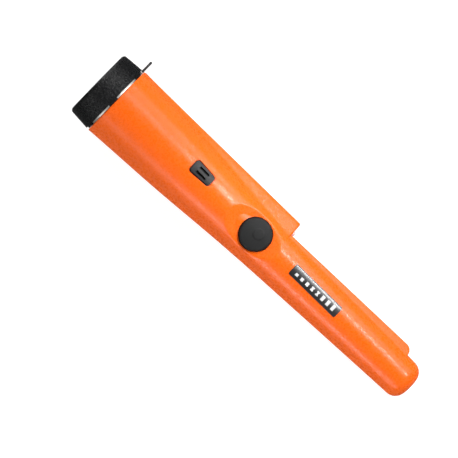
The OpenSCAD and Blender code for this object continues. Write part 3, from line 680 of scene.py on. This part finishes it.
def housing_cutters():
    """Openings for the button, the grille and the lamp."""
    well = [(0, 3), (BUTTON_HOLE, 3), (BUTTON_HOLE, 11.6), (BUTTON_HOLE, 30), (0, 30)]
    cutters = [lathe("button_well", well, Matrix.Translation((-BUTTON_U, 0, 0)), 144)]
    place = plug_matrix(GRILLE_U, GRILLE_PHI)
    for grow, z0 in ((-1.0, 12.0), (0.05, GRILLE_SEAT), (0.4, GRILLE_SEAT + 1.0)):
        cutters.append(prism_cutter("grille_pocket", grille_outline(grow), place, z0, 24.0))
    flange_r, bore_r, mouth_r = LAMP_R + 0.65, LAMP_R + 0.1, LAMP_R + 0.45
    bore = [(0, 122), (flange_r, 122), (flange_r, LAMP_FLANGE + 1.05), (bore_r, LAMP_FLANGE + 1.06),
            (bore_r, LEDGE_END - 0.3), (mouth_r, LEDGE_END + 0.05), (mouth_r, 140), (0, 140)]
    cutters.append(lathe("lamp_bore", bore, along_axis(-LAMP_Y), 48))
    return cutters


def make_cap(mat):
    """Screw cap with rounded end, notched skirt and its inner ridge."""
    count = 288
    bm = bmesh.new()
    rings = [polar_ring(0.0, (CAP_END_R - CAP_ROUND) * k / 6, count) for k in range(1, 6)]
    for r, u in arc(CAP_END_R - CAP_ROUND, CAP_ROUND, CAP_ROUND, -90, 0, 10):
        rings.append(polar_ring(u, r, count))
    slope = (CAP_R - CAP_END_R) / (CAP_LEN - CAP_ROUND)
    for k in range(1, 14):
        u = CAP_ROUND + (CAP_LEN - 0.25 - CAP_ROUND) * k / 13
        rings.append(polar_ring(u, CAP_END_R + slope * (u - CAP_ROUND), count))
    lip = PLATE_U - 0.04
    rings += [polar_ring(u, r, count) for u, r in (
        (CAP_LEN - 0.07, CAP_R - 0.08), (CAP_LEN, CAP_R - 0.24), (CAP_LEN, LUG_R + 0.1),
        (CAP_LEN - 0.1, LUG_R), (lip, LUG_R), (lip, CAP_SEAT_R + 0.05), (lip - 0.05, CAP_SEAT_R),
        (CAP_SEAT_U + 0.02, CAP_SEAT_R), (CAP_SEAT_U, CAP_SEAT_R - 0.02), (CAP_SEAT_U, CAP_BORE))]
    u = CAP_SEAT_U - RIDGE_STEP
    while u > CAP_WALL + 0.1:
        rings.append(polar_ring(u, lambda phi, u=u: CAP_BORE - (CAP_BORE - CAP_RIDGE) * ridge_height(
            u, (90.0 - math.degrees(phi)) % 360.0, RIDGE_U - PITCH / 2, CAP_TURNS), count))
        u -= RIDGE_STEP
    rings += [polar_ring(CAP_WALL, CAP_BORE - 0.02, count), polar_ring(CAP_WALL, 12.0, count)]
    skin_rings(bm, rings)
    cap = finish_mesh("cap_shell", bm)
    cut(cap, notch_cutters())
    paint(cap, mat)
    return cap


def notch_cutters():
    """Wedges between the skirt's lugs; the lanyard tab's one is deeper."""
    cutters, reach = [], 26
    for i in range(NOTCHES):
        centre = math.radians(LUG_PHASE + (i + 0.5) * 360.0 / NOTCHES)
        half = math.radians((360.0 / NOTCHES - LUG) / 2)
        outline = [(0.0, 0.0)]
        for k in range(13):
            a = centre - half + 2 * half * k / 12
            outline.append((reach * math.sin(a), reach * math.cos(a)))
        bm = bmesh.new()
        depth = TAB_NOTCH_DEPTH if i == TAB_NOTCH else NOTCH_DEPTH
        skin_rings(bm, [[(-u, y, z) for y, z in outline] for u in (CAP_LEN - depth, CAP_LEN + 1)])
        cutters.append(finish_mesh("notch", bm))
    return cutters


def make_slip_ring(mat):
    """Bright washer with rounded edges."""
    low, high, e = CAP_SEAT_U + 0.1, PLATE_U - 0.08, 0.15
    inner, outer = 19.1, 20.47
    profile = [(inner + e, low), (outer - e, low), (outer, low + e), (outer, high - e), (outer - e, high),
               (inner + e, high), (inner, high - e), (inner, low + e)]
    ring = tube_lathe("bright_washer", profile, along_axis(), 192)
    paint(ring, mat)
    return ring


def tab_end(reach, half):
    """Half circle at the free end of the tab."""
    return [(-reach - half * math.sin(math.radians(t)), -half * math.cos(math.radians(t)))
            for t in range(0, 181, 12)]


def make_plate(mat):
    """Flat plate with its tab and lanyard hole."""
    reach, side = TAB_REACH - TAB_HALF, math.asin(TAB_HALF / PLATE_R)
    round_part = [(-PLATE_R * math.cos(a), PLATE_R * math.sin(a))
                  for a in [side + (2 * math.pi - 2 * side) * k / 160 for k in range(161)]]
    loops = [round_part + tab_end(reach, TAB_HALF), circle(NECK_SEAT + 0.07, 0, 160),
             circle(LANYARD_R, -reach, 48)]
    bevel = 0.18
    plate = flat_plate("tab_plate_shell", loops, PLATE_U, PLATE_T, bevel)
    paint(plate, mat)
    return plate


def make_tab_cover(mat):
    """Thin black cover round the tab, outside the cap."""
    start, half, reach = 21.3, TAB_HALF + 0.2, TAB_REACH - TAB_HALF
    outline = [(-start, half), (-start, -half)] + tab_end(reach, half)
    film, hole_r, bevel = 0.22, 1.95, 0.45
    loops = [outline, circle(hole_r, -reach, 48)]
    cover = flat_plate("tab_cover", loops, PLATE_U - film, PLATE_T + film, bevel)
    paint(cover, mat)
    return cover


def make_button(mat):
    """Soft button: straight side, rounded rim, low crown and a slightly raised disc."""
    edge, crown = 1.5, 0.55
    count = 128
    profile = [(BUTTON_R - 0.2, BUTTON_LOW), (BUTTON_R, BUTTON_LOW + 0.2)]
    profile += arc(BUTTON_R - edge, BUTTON_TOP - crown - edge, edge, 0, 82, 10)
    steps = 44
    for k in range(1, steps):
        t = 1 - k / steps
        profile.append(((BUTTON_R - edge) * t, BUTTON_TOP - crown * t * t))
    rings = []
    for r, h in profile:
        ring = []
        for j in range(count):
            a = 2 * math.pi * j / count
            x, y, z = r * math.cos(a), r * math.sin(a), h
            if h > BUTTON_TOP - crown - 0.2:
                away = math.hypot(x + DISC_SHIFT, y + DISC_SHIFT)
                z += DISC_RISE / (1 + math.exp((away - DISC_R) * DISC_EDGE))
            ring.append((x - BUTTON_U, y, z))
        rings.append(ring)
    bm = bmesh.new()
    skin_rings(bm, rings)
    button = finish_mesh("button_skin", bm, 50.0)
    paint(button, mat)
    return button


def make_grille(mat):
    """Speaker insert whose top follows the body, with two slots."""
    half = (GRILLE_LEN / 2, GRILLE_WIDE, GRILLE_NARROW)
    grille = curved_plug("grille_insert", GRILLE_U, GRILLE_PHI, 0.0, half, GRILLE_CORNER,
                         GRILLE_SEAT + 0.2, 0.2, fillet=0.3)
    place = plug_matrix(GRILLE_U, GRILLE_PHI)
    slot = rounded_quad(SLOT_LEN, SLOT_WIDE, SLOT_WIDE, SLOT_ROUND)
    slots = [prism_cutter("slot", [(x, y + side) for x, y in slot], place, 10.0, 24.0)
             for side in (-SLOT_SIDE, SLOT_SIDE)]
    slots.append(rim_cutter())
    cut(grille, slots)
    drop_slivers(grille)
    paint(grille, mat)
    return grille


def rim_cutter():
    """Square ring that steps the insert's rim down below the skin."""
    place = plug_matrix(GRILLE_U, GRILLE_PHI)
    outer, inner = (grille_outline(grow, (14, 7)) for grow in (1.2, -0.42))
    low, high = -0.55, 4.0
    drop = [[place @ Vector((x, y, surface_z(x, y, GRILLE_U, level))) for x, y in loop]
            for loop, level in ((outer, low), (inner, low), (inner, high), (outer, high))]
    bm = bmesh.new()
    skin_rings(bm, drop + drop[:1], closed=False)
    return finish_mesh("rim", bm)


def make_label(mat):
    """Thin film that follows the body's skin."""
    half = (LABEL_LEN / 2, LABEL_W / 2, LABEL_W / 2)
    label = curved_plug("label_film", LABEL_U, LABEL_PHI, LABEL_TURN, half, 0.9, None, LABEL_T, fillet=0.1)
    paint(label, mat)
    return label


def make_label_bars(mat):
    """Generic printed scale: a row of bars that grow towards the tip."""
    bm = bmesh.new()
    bars, first, half_wide, shortest, gain, top = 8, 13.4, 0.95, 0.85, 0.95, 1.8
    for i in range(bars):
        tall = shortest + gain * i / (bars - 1)
        shift = (first - 2 * first * i / (bars - 1), top - tall)
        curved_plug("bar", LABEL_U, LABEL_PHI, LABEL_TURN, (half_wide, tall, tall), 0.2, None,
                    LABEL_T + 0.03, fillet=0.02, shift=shift, bm=bm)
    marks = finish_mesh("label_bars", bm)
    paint(marks, mat)
    return marks


def make_lamp(mat):
    """Clear lens with a flange and a round dome."""
    dome = LEDGE_END - 0.1
    rim, edge = LAMP_R + 0.5, LAMP_R + 0.4
    profile = [(0, LAMP_FLANGE), (edge, LAMP_FLANGE), (rim, LAMP_FLANGE + 0.1),
               (rim, LAMP_FLANGE + 0.9), (edge, LAMP_FLANGE + 1.0), (LAMP_R, LAMP_FLANGE + 1.0)]
    profile += [(LAMP_R * math.cos(math.radians(a)), dome + LAMP_R * math.sin(math.radians(a)))
                for a in range(0, 90, 8)] + [(0, dome + LAMP_R)]
    lamp = lathe("lamp_dome", profile, along_axis(-LAMP_Y), 64, 40.0)
    paint(lamp, mat)
    return lamp


# --- stage, light, camera ------------------------------------------------------
def make_floor(paper):
    """Pale floor that the skirt and the tip's underside both touch."""
    heel, toe = Vector((-PLATE_U, 0, -21.93)) * MM, Vector((-NOSE_U, 0, -NOSE_R - 0.03)) * MM
    along = (heel - toe).normalized()
    centre, half = (heel + toe) / 2, 3.0
    bm = bmesh.new()
    corners = [bm.verts.new(centre + along * a + Vector((0, b, 0))) for a, b in
               ((-half, -half), (half, -half), (half, half), (-half, half))]
    bm.faces.new(corners)
    floor = finish_mesh("floor", bm)
    paint(floor, paper)
    floor.visible_glossy = False


def make_backdrop(paper):
    """Pale round wall that only the camera sees: it neither lights nor shades the tube."""
    radius, low, high, count = 2.8, -0.5, 2.0, 96
    bm = bmesh.new()
    rings = [[bm.verts.new((x, y, z)) for x, y in circle(radius, 0.0, count)] for z in (low, high)]
    for k in range(count):
        after = (k + 1) % count
        bm.faces.new((rings[0][after], rings[0][k], rings[1][k], rings[1][after]))
    wall = finish_mesh("backdrop", bm)
    paint(wall, paper)
    wall.visible_glossy = wall.visible_diffuse = wall.visible_transmission = wall.visible_shadow = False


def soft_light(name, phi, distance, length, width, power, at, slide):
    """Soft box beside the tube at the angle phi, aimed at a point; slide moves it along x."""
    data = bpy.data.lights.new(name, "AREA")
    data.shape, data.size, data.size_y, data.energy = "RECTANGLE", length, width, power
    light = bpy.data.objects.new(name, data)
    bpy.context.scene.collection.objects.link(light)
    a = math.radians(phi)
    out = Vector((slide, math.sin(a), math.cos(a))).normalized()
    light.location = Vector(at) + out * distance
    y = out.cross(Vector((1, 0, 0))).normalized()
    x = y.cross(out).normalized()
    light.rotation_euler = Matrix((x, y, out)).transposed().to_euler()
    light.visible_camera = False


def make_world():
    world = bpy.data.worlds.new("studio")
    bpy.context.scene.world = world
    world.use_nodes = True
    tree = world.node_tree
    coord, split = tree.nodes.new("ShaderNodeTexCoord"), tree.nodes.new("ShaderNodeSeparateXYZ")
    ramp, background = tree.nodes.new("ShaderNodeValToRGB"), tree.nodes["Background"]
    tree.links.new(coord.outputs["Generated"], split.inputs[0])
    tree.links.new(split.outputs["Z"], ramp.inputs["Fac"])
    tree.links.new(ramp.outputs["Color"], background.inputs["Color"])
    stops = ramp.color_ramp.elements
    stops.new(0.5)
    for stop, (at, level) in zip(stops, ((0.0, 0.25), (0.86, 1.0), (0.985, 0.12))):
        stop.position, stop.color = at, (level, level, level, 1.0)
    background.inputs["Strength"].default_value = 0.42


def make_camera():
    """Long lens almost straight above, turned so that the tube runs corner to corner."""
    tilt, roll = math.radians(2.9), math.radians(3.3)
    out = Vector((math.sin(tilt), math.sin(roll), math.cos(tilt) * math.cos(roll))).normalized()
    turn = math.radians(44.14)
    right = Vector((-math.cos(turn), -math.sin(turn), 0.0))
    right = (right - right.dot(out) * out).normalized()
    up = out.cross(right)
    lens, sensor, width = 270.0, 36.0, 0.2511
    data = bpy.data.cameras.new("camera")
    data.lens, data.sensor_width, data.clip_end = lens, sensor, 30.0
    camera = bpy.data.objects.new("camera", data)
    bpy.context.scene.collection.objects.link(camera)
    target = Vector((-0.1077, 0.00727, 0.0))
    camera.location = target + out * (width / sensor * lens)
    camera.rotation_euler = Matrix((right, up, out)).transposed().to_euler()
    bpy.context.scene.camera = camera


def set_look():
    scene = bpy.context.scene
    scene.view_settings.view_transform = "Standard"
    scene.view_settings.look = "None"


# --- put together ----------------------------------------------------------------
# Soft boxes: name, angle round the tube in degrees, distance, length and width in metres,
# power in watts, the point aimed at, and how far it slides along x for each part outwards.
MIDDLE, FRONT = (-0.11, 0, 0), (-0.23, 0, 0)
LIGHTS = (
    ("key", -34, 0.60, 0.80, 0.055, 2.0, MIDDLE, 0.0),
    ("key_front", -31, 0.38, 0.17, 0.032, 0.95, FRONT, 0.0),
    ("fill", 64, 0.65, 0.80, 0.12, 1.0, MIDDLE, 0.0),
    ("fill_front", 66, 0.40, 0.18, 0.12, 0.50, FRONT, 0.0),
    ("side", -62, 0.65, 0.10, 0.16, 0.55, (-0.135, 0, 0), 0.0),
    ("side_front", -57, 0.65, 0.17, 0.14, 0.62, (-0.268, 0, 0), 0.0),
    ("spark", -33.4, 0.050, 0.008, 0.006, 0.011, (-0.096, -0.0045, 0.0168), -0.157),
    ("end", -72, 0.50, 0.20, 0.20, 2.0, (0.0, 0, 0), 1.7),
)

# What makes each detailed piece, its body, the node it replaces and its material slot.
PIECES = (
    (make_housing, "body", "housing", "body_orange"),
    (make_cap, "cap", "battery_cap", "cap_black"),
    (make_slip_ring, "cap_carrier", "slip_ring", "bright_ring"),
    (make_plate, "tab_plate", "lanyard_plate", "plate_steel"),
    (make_button, "button", "button_cap", "button_rubber"),
    (make_grille, "body", "speaker_grille", "grille_plastic"),
    (make_label, "body", "label", "label_black"),
    (make_lamp, "body", "lamp_lens", "lamp_clear"),
)

make_camera()
mats = all_materials()
for part in frame["record"]["subparts"]:
    paint(NODES[part["node"]], mats[part["material_slot"]])
for make, body, node, slot_name in PIECES:
    piece = make(mats[slot_name])
    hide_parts(node)
    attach(piece, body)
cover = make_tab_cover(mats["carrier_plastic"])
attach(cover, "tab_plate")
bars = make_label_bars(mats["label_white"])
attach(bars, "body")
paper = floor_material()
make_floor(paper)
make_backdrop(paper)
make_world()
for box in LIGHTS:
    soft_light(*box)
set_look()
